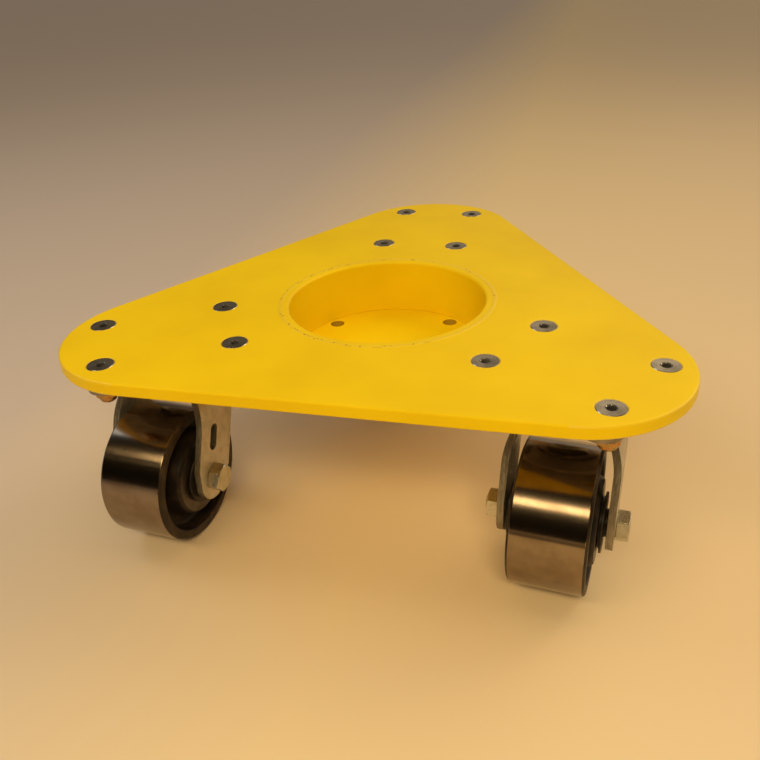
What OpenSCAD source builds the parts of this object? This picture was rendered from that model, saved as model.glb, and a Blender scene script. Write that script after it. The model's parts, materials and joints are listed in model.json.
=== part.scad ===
// Triangular three-caster dolly with a welded central cup.
// Millimetres, +Z up. The origin is the centre of the cup's mouth, level with the top of the deck.
// The left corner points to 210 degrees, the right corner to 330 and the rear corner to 90.

/* [Deck] */
// Distance from the middle of the deck to each corner's centre
corner_offset = 168.3; // [150:0.1:230]
// Radius of each rounded corner
corner_r = 76.2; // [74:0.1:120]
// Thickness of the deck plate
deck_t = 9.525; // [8:0.025:16]

/* [Cup] */
// Inside diameter of the cup
cup_bore_d = 152.4; // [90:0.1:156]
// Wall of the cup's tube
cup_wall = 6.35; // [3:0.05:10]
// Depth of the cup, from the deck's top to its floor
cup_depth = 44.45; // [25:0.05:60]
// Thickness of the cup's floor
cup_floor_t = 6.35; // [3:0.05:10]
// Diameter of each drain hole in the floor
drain_d = 11.5; // [5:0.1:15]
// Number of drain holes
drain_count = 4; // [1:1:8]
// Leg length of the fillet welds on the cup
weld_leg = 5; // [2:0.1:8]

/* [Caster plate] */
// Length of the caster's top plate, along the deck's radius
plate_l = 114.3; // [108:0.1:140]
// Width of the caster's top plate
plate_w = 101.6; // [90:0.1:130]
// Thickness of the caster's top plate
plate_t = 6.35; // [5:0.05:10]
// Corner radius of the caster's top plate
plate_corner_r = 13; // [5:0.1:18]
// Bolt spacing along the plate
bolt_l = 92.1; // [84:0.1:100]
// Bolt spacing across the plate
bolt_w = 66.7; // [60:0.1:76]
// How far each bolt slot runs on towards the square pattern, along the plate
slot_run_l = 7.9; // [0:0.1:9]
// How far each bolt slot runs on towards the square pattern, across the plate
slot_run_w = 4.8; // [0:0.1:6]

/* [Deck screws] */
// Thread diameter of the deck screws
screw_d = 9.525; // [8:0.025:11]
// How far the deck screws stand out of their nuts
screw_stub = 1.1; // [0:0.1:5]
// Diameter of the flat screw head
head_d = 19.05; // [17:0.05:22]
// Full angle of the head's cone
head_angle = 82; // [80:1:90]
// Across flats of the hexagon socket
socket_af = 5.56; // [4:0.01:8]
// Across flats of the lock nut
nut_af = 14.29; // [13:0.01:18]
// Height of the lock nut
nut_h = 11.6; // [9:0.1:14]

/* [Swivel] */
// Kingpin diameter
kingpin_d = 19.05; // [16:0.05:22]
// Running clearance round the kingpin
kingpin_play = 0.1; // [0.05:0.01:0.1]
// Diameter of the upper race balls
upper_ball_d = 9.525; // [8:0.025:11]
// Pitch diameter of the upper ball ring
upper_pitch_d = 57; // [50:0.1:60]
// Diameter of the lower race balls
lower_ball_d = 6.35; // [5:0.05:7]
// Pitch diameter of the lower ball ring
lower_pitch_d = 32; // [30:0.1:36]
// Clearance between a ball and its groove
ball_play = 0.3; // [0.2:0.05:0.4]
// Gap between two race faces
race_gap = 2.8; // [2:0.1:4]
// Thickness of the race ring under the top plate
race_ring_t = 4; // [3.5:0.1:6]
// Diameter of the fork's round crown
crown_d = 78; // [76:0.1:90]
// Thickness of the fork's round crown
crown_t = 10.4; // [9:0.1:14]
// Across flats of the kingpin nut
kingpin_nut_af = 27; // [24:0.1:30]
// Height of the kingpin nut
kingpin_nut_h = 6.5; // [5:0.1:8]

/* [Fork] */
// Gap between a retainer washer and the fork leg beside it
leg_gap = 2.3; // [0.5:0.1:6]
// Thickness of each fork leg
leg_t = 5; // [4:0.1:8]
// Width of each fork leg
leg_w = 41; // [34:0.1:46]
// Horizontal lead from the kingpin's axis to the axle
lead = 28.6; // [20:0.1:36]
// Gap between the top of the wheel and the fork's crown
wheel_gap = 17.7; // [16:0.1:30]
// How far below the crown the legs begin to curve inwards
leg_bow_h = 30.5; // [20:0.1:36]
// Radius of the legs' inward curve
leg_bow_r = 55; // [45:0.1:80]
// Rounding radius of the leg's lower end
leg_end_r = 17.5; // [14:0.1:20]
// Height of the leg's slot above the axle, along the leg
slot_up = 31; // [28:0.1:34]
// Sideways place of the slot, towards the leg's leading edge
slot_side = 4.2; // [0:0.1:8]
// Length of the leg's slot
leg_slot_l = 20; // [12:0.1:22]
// Width of the leg's slot
leg_slot_w = 8.7; // [4:0.1:12]

/* [Axle] */
// Axle bolt diameter
axle_d = 12.7; // [10:0.05:14]
// Across flats of the axle bolt's head and nut
axle_af = 19.05; // [18:0.05:24]
// Height of the axle bolt's head
axle_head_h = 9; // [7:0.1:12]
// Height of the axle's lock nut
axle_nut_h = 9; // [7:0.1:12]
// How far the axle bolt stands out of its nut
axle_stub = 1.2; // [0:0.1:6]
// Outside diameter of the spanner bushing on the axle
bushing_d = 19.05; // [17:0.05:22]
// Clearance between the axle bolt and what it passes through
axle_play = 0.1; // [0.05:0.01:0.3]
// Outside diameter of the two retainer washers
retainer_d = 41.4; // [34:0.1:50]
// Thickness of each retainer washer
retainer_t = 3; // [2:0.1:4]
// Side play between a retainer washer and the hub
hub_play = 0.4; // [0.3:0.05:0.8]

/* [Wheel] */
// Wheel diameter
wheel_d = 101.6; // [94:0.1:130]
// Width of the tread
tread_w = 50.8; // [40:0.1:62]
// Chamfer at each edge of the tread
tread_chamfer = 1.8; // [0.5:0.1:4]
// Thickness of the rim under the tread
rim_t = 8; // [6:0.1:12]
// Diameter of the hub boss
hub_d = 60; // [46:0.1:64]
// Length of the hub
hub_l = 55.6; // [46:0.1:70]
// Thickness of the web between rim and hub
web_t = 26; // [12:0.1:34]
// Diameter of the hub's bore, which holds the roller bearing
hub_bore_d = 30.16; // [28:0.01:34]
// Clearance round each roller
roller_play = 0.2; // [0.1:0.05:0.4]

/* [Swivel angles] */
// How far the left fork is turned from straight back
left_yaw = -5; // [-180:1:180]
// How far the right fork is turned from straight back
right_yaw = -6; // [-180:1:180]
// How far the rear fork is turned from straight back
rear_yaw = -3; // [-180:1:180]

/* [Hidden] */
$fn = 96;
SIDES = ["left", "right", "rear"];
corner_angle = [210, 330, 90];
yaw = [left_yaw, right_yaw, rear_yaw];
CASTER_PARTS = ["top_plate", "kingpin", "kingpin_nut", "lower_race", "upper_balls", "lower_balls",
    "fork_crown", "nut_side_leg", "head_side_leg", "grease_fitting", "axle_bolt", "axle_nut",
    "spanner_bushing", "retainer_washers", "wheel", "roller_bearing"];

// Cup
cup_r = cup_bore_d / 2;
cup_outer_r = cup_r + cup_wall;
floor_weld = 3.5;
cup_floor_r = cup_outer_r - floor_weld;
drain_edge_gap = 2;
drain_ring_r = cup_r - drain_edge_gap - drain_d / 2;
drain_first_angle = 55;

// Heights, measured from the deck's top
plate_top = -deck_t;
plate_bottom = plate_top - plate_t;
ring_bottom = plate_bottom - race_ring_t;
upper_ball_z = ring_bottom - race_gap / 2;
crown_top = ring_bottom - race_gap;
crown_bottom = crown_top - crown_t;
lower_ball_z = crown_bottom - race_gap / 2;
lower_race_top = crown_bottom - race_gap;
lower_race_t = 4.2;
lower_race_bottom = lower_race_top - lower_race_t;
kingpin_nut_bottom = lower_race_bottom - kingpin_nut_h;
kingpin_stub = 1;
wheel_r = wheel_d / 2;
axle_z = crown_bottom - wheel_gap - wheel_r;

// Screws
screw_len = deck_t + plate_t + nut_h + screw_stub;
countersink_r = head_d / 2 + 0.475;
head_rim = 0.45;
head_sink = 0.1;
half_angle = head_angle / 2;
screw_hole_r = screw_d / 2 + 0.4;
hex_root = 1 / cos(30);
socket_depth = 4.2;

// Swivel
ball_spacing = 1.15;
race_land = 9;
race_lip = 2;
upper_groove_r = upper_ball_d / 2 + ball_play;
lower_groove_r = lower_ball_d / 2 + ball_play;
ring_r = upper_pitch_d / 2 + race_land;
lower_race_r = lower_pitch_d / 2 + lower_ball_d / 2 + race_lip;
fitting_d = 6;
fitting_l = 6;
fitting_af = 7.5;
fitting_section = [[0, 3], [2.9, 3], [1.9, 5.5], [1.9, 6.5], [3, 7.4], [1.4, 9], [0, 9]];

// Fork
fork_inner = hub_l + 2 * (hub_play + retainer_t + leg_gap);
leg_outer = fork_inner / 2 + leg_t;
slant = atan(lead / (crown_bottom - axle_z));
bow_start_z = crown_bottom - leg_bow_h;
bow_turn = asin(leg_bow_h / leg_bow_r);
bow_inner_turn = asin(leg_bow_h / (leg_bow_r - leg_t));
leg_toe = 5;
axle_hole_r = axle_d / 2 + axle_play;

// Wheel
hub_bore_r = hub_bore_d / 2;
rim_inner_r = wheel_r - rim_t;
groove_w = 3;
roller_inner_r = bushing_d / 2 + roller_play;
roller_outer_r = hub_bore_r - roller_play;
roller_r = (roller_outer_r - roller_inner_r) / 2;
roller_pitch_r = (roller_outer_r + roller_inner_r) / 2;
roller_spacing = 1.45;
cage_end_t = 3;
cage_end_gap = 1;
cage_bar_gap = 0.3;
cage_l = hub_l - 2 * cage_end_gap;
thread_chamfer = 1;
head_turn = 18;

function ring_point(r, a) = [r * cos(a), r * sin(a)];
// How many rollers or balls of one size fill a ring
function ring_count(pitch_r, d, spacing) = floor(2 * PI * pitch_r / (d * spacing));
function arc_points(c, r, a0, a1, n = 12) = [for (i = [0:n]) c + ring_point(r, a0 + (a1 - a0) * i / n)];

// --- placing ---

module at_corner(i) {
    rotate([0, 0, corner_angle[i]]) translate([corner_offset, 0, 0]) children();
}

// The fork's own frame: X along the axle, -Y towards the trailing wheel
module at_fork(i) {
    translate([corner_offset * cos(corner_angle[i]), corner_offset * sin(corner_angle[i]), 0])
        rotate([0, 0, yaw[i]]) children();
}

module along_axle() {
    translate([0, -lead, axle_z]) rotate([0, 90, 0]) children();
}

module at_plate_bolts() {
    for (sx = [-1, 1], sy = [-1, 1]) translate([sx * bolt_l / 2, sy * bolt_w / 2, 0]) children();
}

module ring(outer_r, inner_r, h) {
    difference() {
        cylinder(r = outer_r, h = h);
        translate([0, 0, -1]) cylinder(r = inner_r, h = h + 2);
    }
}

module hexagon(af, h) {
    cylinder(r = af / 2 * hex_root, h = h, $fn = 6);
}

// A hexagon whose corners are turned away at both ends, or only at its top
module chamfered_hexagon(af, h, both = false) {
    tip = 0.08 * af;
    intersection() {
        hexagon(af, h);
        rotate_extrude() polygon([[0, 0], [af / 2 * (both ? 0.97 : hex_root), 0],
            [af / 2 * hex_root, both ? tip : 0], [af / 2 * hex_root, h - tip], [af / 2 * 0.95, h], [0, h]]);
    }
}

module ball_ring(pitch_d, ball_d) {
    n = ring_count(pitch_d / 2, ball_d, ball_spacing);
    for (i = [0:n - 1]) rotate([0, 0, 360 * i / n]) translate([pitch_d / 2, 0, 0]) sphere(d = ball_d, $fn = 32);
}

module groove(pitch_d, groove_r) {
    rotate_extrude() translate([pitch_d / 2, 0]) circle(r = groove_r);
}

// --- deck and cup ---

// A rounded triangle: straight sides that run tangent into the three corner arcs
module deck_outline() {
    for (a = corner_angle) translate(ring_point(corner_offset, a)) circle(r = corner_r);
    polygon([for (a = corner_angle) for (t = [-60, 60])
        ring_point(corner_offset, a) + ring_point(corner_r, a + t)]);
}

module deck_plate() {
    color("gold") difference() {
        translate([0, 0, -deck_t]) linear_extrude(deck_t) deck_outline();
        translate([0, 0, -deck_t - 1]) cylinder(r = cup_outer_r, h = deck_t + 2);
        for (i = [0:2]) at_corner(i) at_plate_bolts() {
            translate([0, 0, -deck_t - 1]) cylinder(r = screw_hole_r, h = deck_t + 2);
            countersink(countersink_r, screw_hole_r);
        }
    }
}

module countersink(top_r, bottom_r) {
    depth = (top_r - bottom_r) / tan(half_angle);
    translate([0, 0, -depth]) cylinder(r1 = bottom_r, r2 = top_r, h = depth);
    cylinder(r = top_r, h = 1);
}

module cup_tube() {
    color("gold") translate([0, 0, -cup_depth]) ring(cup_outer_r, cup_r, cup_depth);
}

// A disc under the tube
module cup_floor() {
    color("gold") translate([0, 0, -cup_depth - cup_floor_t]) difference() {
        cylinder(r = cup_floor_r, h = cup_floor_t);
        for (i = [0:drain_count - 1]) rotate([0, 0, drain_first_angle + 360 * i / drain_count])
            translate([drain_ring_r, 0, -1]) cylinder(d = drain_d, h = cup_floor_t + 2);
    }
}

// Fillet beads: the tube's outside to the deck's underside, and the floor's edge to the tube's end
module cup_welds() {
    color("goldenrod") {
        translate([0, 0, -deck_t]) rotate_extrude()
            polygon([[cup_outer_r, 0], [cup_outer_r + weld_leg, 0], [cup_outer_r, -weld_leg]]);
        translate([0, 0, -cup_depth]) rotate_extrude()
            polygon([[cup_floor_r, 0], [cup_outer_r, 0], [cup_floor_r, -floor_weld]]);
    }
}

module deck_screw() {
    top = -head_sink;
    cone_top = top - head_rim;
    cone_r = head_d / 2;
    cone_h = (cone_r - screw_d / 2) / tan(half_angle);
    difference() {
        union() {
            translate([0, 0, cone_top]) cylinder(r = cone_r, h = head_rim);
            translate([0, 0, cone_top - cone_h]) cylinder(r1 = screw_d / 2, r2 = cone_r, h = cone_h);
            translate([0, 0, -screw_len + thread_chamfer])
                cylinder(d = screw_d, h = screw_len - thread_chamfer + cone_top - cone_h);
            translate([0, 0, -screw_len])
                cylinder(r1 = screw_d / 2 - thread_chamfer, r2 = screw_d / 2, h = thread_chamfer);
        }
        translate([0, 0, top - socket_depth]) hexagon(socket_af, socket_depth + 1);
    }
}

module deck_screws() {
    color("silver") for (i = [0:2]) at_corner(i) at_plate_bolts() deck_screw();
}

module lock_nut() {
    hex_part = nut_h * 0.72;
    collar_r = nut_af * 0.45;
    dome_r = 2;
    difference() {
        union() {
            mirror([0, 0, 1]) chamfered_hexagon(nut_af, hex_part);
            mirror([0, 0, 1]) rotate_extrude() polygon(concat([[0, hex_part - 1], [collar_r, hex_part - 1]],
                arc_points([collar_r - dome_r, nut_h - dome_r], dome_r, 0, 90, 6), [[0, nut_h]]));
        }
        translate([0, 0, -nut_h - 1]) cylinder(d = screw_d, h = nut_h + 2);
    }
}

module lock_nuts() {
    color("darkgoldenrod") for (i = [0:2]) at_corner(i) at_plate_bolts()
        translate([0, 0, plate_bottom]) lock_nut();
}

// --- the caster's fixed half ---

module plate_outline() {
    x = plate_l / 2 - plate_corner_r;
    y = plate_w / 2 - plate_corner_r;
    square([plate_l, 2 * y], center = true);
    square([2 * x, plate_w], center = true);
    for (sx = [-1, 1], sy = [-1, 1]) translate([sx * x, sy * y]) circle(r = plate_corner_r);
}

// A bolt slot, from the long pattern's corner towards the square pattern's
module plate_slot(sx, sy) {
    run = norm([slot_run_l, slot_run_w]);
    translate([sx * bolt_l / 2, sy * bolt_w / 2]) rotate([0, 0, atan2(sy * slot_run_w, -sx * slot_run_l)]) {
        circle(r = screw_hole_r);
        translate([run, 0]) circle(r = screw_hole_r);
        translate([0, -screw_hole_r]) square([run, 2 * screw_hole_r]);
    }
}

module top_plate() {
    color("lightgray") difference() {
        union() {
            translate([0, 0, plate_bottom]) linear_extrude(plate_t) difference() {
                plate_outline();
                for (sx = [-1, 1], sy = [-1, 1]) plate_slot(sx, sy);
            }
            translate([0, 0, ring_bottom]) cylinder(r = ring_r, h = race_ring_t + plate_t / 2);
        }
        translate([0, 0, ring_bottom - 1]) cylinder(d = kingpin_d, h = plate_t + race_ring_t + 2);
        translate([0, 0, upper_ball_z]) groove(upper_pitch_d, upper_groove_r);
    }
}

module kingpin() {
    bottom = kingpin_nut_bottom - kingpin_stub;
    color("gray") {
        translate([0, 0, bottom + thread_chamfer]) cylinder(d = kingpin_d, h = plate_top - bottom - thread_chamfer);
        translate([0, 0, bottom])
            cylinder(r1 = kingpin_d / 2 - thread_chamfer, r2 = kingpin_d / 2, h = thread_chamfer);
    }
}

module lower_race() {
    color("lightgray") difference() {
        translate([0, 0, lower_race_bottom]) ring(lower_race_r, kingpin_d / 2, lower_race_t);
        translate([0, 0, lower_ball_z]) groove(lower_pitch_d, lower_groove_r);
    }
}

module kingpin_nut() {
    color("silver") difference() {
        translate([0, 0, lower_race_bottom]) mirror([0, 0, 1]) chamfered_hexagon(kingpin_nut_af, kingpin_nut_h);
        translate([0, 0, kingpin_nut_bottom - 1]) cylinder(d = kingpin_d, h = kingpin_nut_h + 2);
    }
}

// --- the caster's swivelling half ---

module upper_balls() {
    color("silver") translate([0, 0, upper_ball_z]) ball_ring(upper_pitch_d, upper_ball_d);
}

module lower_balls() {
    color("silver") translate([0, 0, lower_ball_z]) ball_ring(lower_pitch_d, lower_ball_d);
}

module fork_crown() {
    color("lightgray") difference() {
        translate([0, 0, crown_bottom]) cylinder(d = crown_d, h = crown_t);
        translate([0, 0, crown_bottom - 1]) cylinder(r = kingpin_d / 2 + kingpin_play, h = crown_t + 2);
        translate([0, 0, upper_ball_z]) groove(upper_pitch_d, upper_groove_r);
        translate([0, 0, lower_ball_z]) groove(lower_pitch_d, lower_groove_r);
        fitting_place() translate([0, 0, -fitting_l]) cylinder(d = fitting_d, h = fitting_l + 1);
    }
}

module fitting_place() {
    translate([0, crown_d / 2, (crown_top + crown_bottom) / 2]) rotate([-90, 0, 0]) children();
}

module grease_fitting() {
    color("silver") fitting_place() {
        translate([0, 0, -fitting_l]) cylinder(d = fitting_d, h = fitting_l);
        hexagon(fitting_af, fitting_section[0][1]);
        rotate_extrude() polygon(fitting_section);
    }
}

// The leg seen along its width: straight at the axle, curving inwards to the crown
module leg_profile() {
    centre = [leg_outer - leg_bow_r, bow_start_z];
    bottom = axle_z - leg_end_r - leg_toe;
    polygon(concat([[leg_outer, bottom]], arc_points(centre, leg_bow_r, 0, bow_turn),
        arc_points(centre, leg_bow_r - leg_t, bow_inner_turn, 0), [[leg_outer - leg_t, bottom]]));
}

// The leg seen along the axle: a slanted strip with a rounded lower end
module leg_outline() {
    h = (crown_bottom - axle_z) / cos(slant) + leg_w;
    shoulder = leg_w * 0.155;
    tangent = ring_point(leg_end_r, -30);
    translate([-lead, axle_z]) rotate([0, 0, -slant]) {
        circle(r = leg_end_r);
        polygon([[-leg_w / 2, h], [-leg_w / 2, shoulder], [-tangent[0], tangent[1]],
            tangent, [leg_w / 2, shoulder], [leg_w / 2, h]]);
    }
}

module leg_slot() {
    translate([-lead, axle_z]) rotate([0, 0, -slant]) translate([-slot_side, slot_up]) {
        for (s = [-1, 1]) translate([0, s * (leg_slot_l - leg_slot_w) / 2]) circle(d = leg_slot_w);
        square([leg_slot_w, leg_slot_l - leg_slot_w], center = true);
    }
}

// Stands a drawing of the Y-Z plane up along X
module side_extrude(w) {
    rotate([90, 0, 90]) linear_extrude(w) children();
}

module fork_leg() {
    color("lightgray") difference() {
        intersection() {
            translate([0, leg_w * 2, 0]) rotate([90, 0, 0]) linear_extrude(leg_w * 4) leg_profile();
            side_extrude(leg_outer + 1) leg_outline();
        }
        side_extrude(leg_outer + 1) leg_slot();
        along_axle() cylinder(r = axle_hole_r, h = leg_outer + 1);
    }
}

module head_side_leg() {
    fork_leg();
}

module nut_side_leg() {
    mirror([1, 0, 0]) fork_leg();
}

module axle_bolt() {
    tip = leg_outer + axle_nut_h + axle_stub;
    color("silver") along_axle() {
        translate([0, 0, -tip + thread_chamfer]) cylinder(d = axle_d, h = tip - thread_chamfer + leg_outer);
        translate([0, 0, -tip]) cylinder(r1 = axle_d / 2 - thread_chamfer, r2 = axle_d / 2, h = thread_chamfer);
        translate([0, 0, leg_outer]) rotate([0, 0, head_turn]) chamfered_hexagon(axle_af, axle_head_h);
    }
}

module axle_nut() {
    color("silver") along_axle() difference() {
        translate([0, 0, -leg_outer]) mirror([0, 0, 1]) chamfered_hexagon(axle_af, axle_nut_h);
        translate([0, 0, -leg_outer - axle_nut_h - 1]) cylinder(d = axle_d, h = axle_nut_h + 2);
    }
}

module spanner_bushing() {
    color("dimgray") along_axle() translate([0, 0, -fork_inner / 2])
        ring(bushing_d / 2, axle_d / 2 + axle_play, fork_inner);
}

module retainer_washers() {
    color("dimgray") along_axle() for (s = [0, 1]) mirror([0, 0, s])
        translate([0, 0, hub_l / 2 + hub_play]) ring(retainer_d / 2, bushing_d / 2, retainer_t);
}

// --- wheel ---

// One side of the wheel's section, from the tread's edge in to the hub's bore
module wheel_section() {
    w = tread_w / 2;
    c = tread_chamfer;
    web = web_t / 2;
    hub_w = hub_l / 2;
    side = [[wheel_r, w - c], [wheel_r - c, w], [rim_inner_r, w],
        [rim_inner_r - groove_w / 2, web + groove_w / 2], [rim_inner_r - groove_w * 1.5, web],
        [hub_d / 2 + groove_w, web + groove_w / 2], [hub_d / 2, hub_w - groove_w], [hub_d / 2 - 1, hub_w],
        [hub_bore_r, hub_w]];
    polygon(concat(side, [for (i = [len(side) - 1:-1:0]) [side[i][0], -side[i][1]]]));
}

module wheel() {
    color("dimgray") along_axle() rotate_extrude() wheel_section();
}

// A cage of two end rings and bars, with a roller in each gap
module roller_bearing() {
    ring_in = roller_inner_r + cage_bar_gap;
    ring_out = hub_bore_r;
    roller_l = cage_l - 2 * cage_end_t - 2 * roller_play;
    rollers_n = ring_count(roller_pitch_r, 2 * roller_r, roller_spacing);
    color("gray") along_axle() {
        difference() {
            translate([0, 0, -cage_l / 2]) ring(ring_out, ring_in, cage_l);
            for (i = [0:rollers_n - 1]) rotate([0, 0, 360 * i / rollers_n])
                translate([0, -roller_r - roller_play, -cage_l / 2 + cage_end_t])
                    cube([ring_out + 1, 2 * (roller_r + roller_play), cage_l - 2 * cage_end_t]);
        }
        for (i = [0:rollers_n - 1]) rotate([0, 0, 360 * i / rollers_n])
            translate([roller_pitch_r, 0, -roller_l / 2]) cylinder(r = roller_r, h = roller_l);
    }
}

// --- what is drawn ---

deck_plate();
cup_tube();
cup_floor();
cup_welds();
deck_screws();
lock_nuts();
for (i = [0:2]) {
    at_corner(i) top_plate();
    at_corner(i) kingpin();
    at_corner(i) kingpin_nut();
    at_corner(i) lower_race();
    at_fork(i) upper_balls();
    at_fork(i) lower_balls();
    at_fork(i) fork_crown();
    at_fork(i) nut_side_leg();
    at_fork(i) head_side_leg();
    at_fork(i) grease_fitting();
    at_fork(i) axle_bolt();
    at_fork(i) axle_nut();
    at_fork(i) spanner_bushing();
    at_fork(i) retainer_washers();
    at_fork(i) wheel();
    at_fork(i) roller_bearing();
}
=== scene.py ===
# %% [markdown]
# This is a machinery dolly: a thick steel plate with three rounded corners, a cup for a round foot
# welded into its middle, and a heavy swivel caster bolted under each corner. The CAD frame already
# has every solid at its true size. Here the parts get the things that CAD leaves out: broken edges,
# sheared sides, weld ripples, turning marks, plating and paint. The frame is loaded first, so that
# every later size can be read from it.

# %% Load the frame
import json
import math
import random

import bmesh
import bpy
from mathutils import Matrix, Vector, noise


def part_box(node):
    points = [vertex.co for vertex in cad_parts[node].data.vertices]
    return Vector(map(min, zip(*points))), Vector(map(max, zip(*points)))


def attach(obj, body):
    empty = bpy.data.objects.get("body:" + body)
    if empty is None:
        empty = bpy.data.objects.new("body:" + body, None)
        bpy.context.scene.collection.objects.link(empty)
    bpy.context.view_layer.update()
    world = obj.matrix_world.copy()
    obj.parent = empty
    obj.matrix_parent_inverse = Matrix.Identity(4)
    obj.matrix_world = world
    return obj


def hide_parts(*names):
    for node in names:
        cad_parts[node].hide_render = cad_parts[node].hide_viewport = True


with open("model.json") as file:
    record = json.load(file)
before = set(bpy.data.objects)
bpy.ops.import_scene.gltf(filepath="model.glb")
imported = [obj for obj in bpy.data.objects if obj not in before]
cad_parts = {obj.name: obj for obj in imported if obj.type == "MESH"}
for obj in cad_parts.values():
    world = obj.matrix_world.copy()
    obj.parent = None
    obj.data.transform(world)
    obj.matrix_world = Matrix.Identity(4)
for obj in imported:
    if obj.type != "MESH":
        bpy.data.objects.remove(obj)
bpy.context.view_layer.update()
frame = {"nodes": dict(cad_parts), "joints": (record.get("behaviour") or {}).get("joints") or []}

# %% [markdown]
# A piece is easiest to model where its own axis runs through zero, as on a bench. So each corner and
# each axle gets a matrix, a "place", that later carries the finished mesh to where it is bolted on.
# The places come from the frame's joints and kingpins, and not from numbers typed in again.

# %% Places of the corners and the axles
MM = 0.001
UP = Vector((0, 0, 1))
SIDES = ("left", "right", "rear")
joints = {joint["name"]: joint for joint in frame["joints"]}


def middle(node):
    low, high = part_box(node)
    return (low + high) / 2


def corner_place(side):
    """X runs out along the deck's radius, and z is zero on the deck's top."""
    spot = middle(f"{side}_kingpin")
    return Matrix.Translation((spot.x, spot.y, 0)) @ Matrix.Rotation(math.atan2(spot.y, spot.x), 4, "Z")


def axle_place(side):
    """X runs along the axle towards the bolt's head, and the kingpin is on the +Y side."""
    joint = joints[f"{side}_roll"]
    x = Vector(joint["axis"]).normalized()
    turn = Matrix((x, UP.cross(x), UP)).transposed().to_4x4()
    return Matrix.Translation(joint["pos_m"]) @ turn


corner = {side: corner_place(side) for side in SIDES}
axle = {side: axle_place(side) for side in SIDES}
ALONG_X = Matrix.Rotation(math.pi / 2, 4, "Y")
ALONG_Y = Matrix.Rotation(math.pi / 2, 4, "X")
lead = (axle["left"].inverted() @ corner["left"].translation).y
print(f"lead {lead / MM:.1f} mm, axle {axle['left'].translation.z / MM:.1f} mm from the deck's top")

# %% [markdown]
# Sizes that several pieces share are measured once. A caster's sizes are taken in its axle's own
# directions: a box along the world's axes would be too wide, because every fork is turned a little.

# %% Measure the caster


def own_box(part):
    """The lowest and highest corners of a part of the left caster, in its axle's own directions."""
    back = axle["left"].inverted()
    points = [back @ v.co for v in frame["nodes"][f"left_{part}"].data.vertices]
    return [Vector([pick(p[i] for p in points) for i in range(3)]) for pick in (min, max)]


deck_low, deck_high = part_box("deck_plate")
deck_t = deck_high.z - deck_low.z
corner_r = deck_high.x - corner["right"].translation.x
cup_low, cup_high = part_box("cup_tube")
cup_outer_r = cup_high.y
floor_low, floor_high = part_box("cup_floor")
CUP_WALL = 6.35 * MM
cup_r = cup_outer_r - CUP_WALL

wheel_high = own_box("wheel")[1]
wheel_r = wheel_high.z
hub_half = wheel_high.x
leg_high = own_box("head_side_leg")[1]
leg_outer = leg_high.x
bolt_low, bolt_high = own_box("axle_bolt")
nut_low, nut_high = own_box("axle_nut")
washer_high = own_box("retainer_washers")[1]
bushing_low, bushing_high = own_box("spanner_bushing")
print(f"radii: deck corner {corner_r / MM:.1f}, cup {cup_r / MM:.1f}, wheel {wheel_r / MM:.1f} mm")

# %% [markdown]
# The camera stands a little to the right of the dolly's middle and looks down on it from half a
# metre, as a person kneeling beside it would. It rolls slightly, as a camera held by hand does. It is
# made early, so that every try is seen from the same spot.

# %% Camera
VIEW_TURN = math.radians(16.16)
VIEW_FALL = math.radians(29.47)
VIEW_ROLL = math.radians(-3.41)
VIEW_DISTANCE = 0.4993
VIEW_TARGET = Vector((0.0271, -0.1265, 0))
LENS_MM = 37.19

back = Vector((math.sin(VIEW_TURN) * math.cos(VIEW_FALL), -math.cos(VIEW_TURN) * math.cos(VIEW_FALL),
               math.sin(VIEW_FALL)))
right = (-back).cross(UP).normalized()
turn = Matrix((right, back.cross(right), back)).transposed().to_4x4()
camera = bpy.data.objects.new("camera", bpy.data.cameras.new("camera"))
camera.data.lens = LENS_MM
camera.data.clip_start = 0.02
camera.matrix_world = (Matrix.Translation(VIEW_TARGET + back * VIEW_DISTANCE) @ turn
                       @ Matrix.Rotation(VIEW_ROLL, 4, "Z"))
bpy.context.scene.collection.objects.link(camera)
bpy.context.scene.camera = camera
print("camera at", [round(c, 3) for c in camera.matrix_world.translation])

# %% [markdown]
# A finish is a small network of nodes. Written out link by link it is hard to read, so a thin wrapper
# lets Python's own operators add the Math nodes. The mask `grain * 0.4 + 0.3` then reads as it would
# on paper. Every other node comes from one method, `add`.

# %% A wrapper for sockets


class Wire:
    """The output of a node. Arithmetic on it adds Math nodes."""

    def __init__(self, nodes, socket):
        self.nodes = nodes
        self.socket = socket

    def math(self, operation, first, second=0.0):
        return self.nodes.add("ShaderNodeMath", {"operation": operation}, {0: first, 1: second})

    def __add__(self, other):
        return self.math("ADD", self, other)

    __radd__ = __add__

    def __sub__(self, other):
        return self.math("SUBTRACT", self, other)

    def __rsub__(self, other):
        return self.math("SUBTRACT", other, self)

    def __mul__(self, other):
        return self.math("MULTIPLY", self, other)

    __rmul__ = __mul__

    def root(self):
        return self.math("SQRT", self)

    def above(self, low, high, least=0.0, slope="SMOOTHSTEP"):
        """least below low, 1 above high, and a soft or a straight step between them."""
        return self.nodes.add("ShaderNodeMapRange", {"interpolation_type": slope},
                              {"Value": self, "From Min": low, "From Max": high, "To Min": least})


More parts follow.
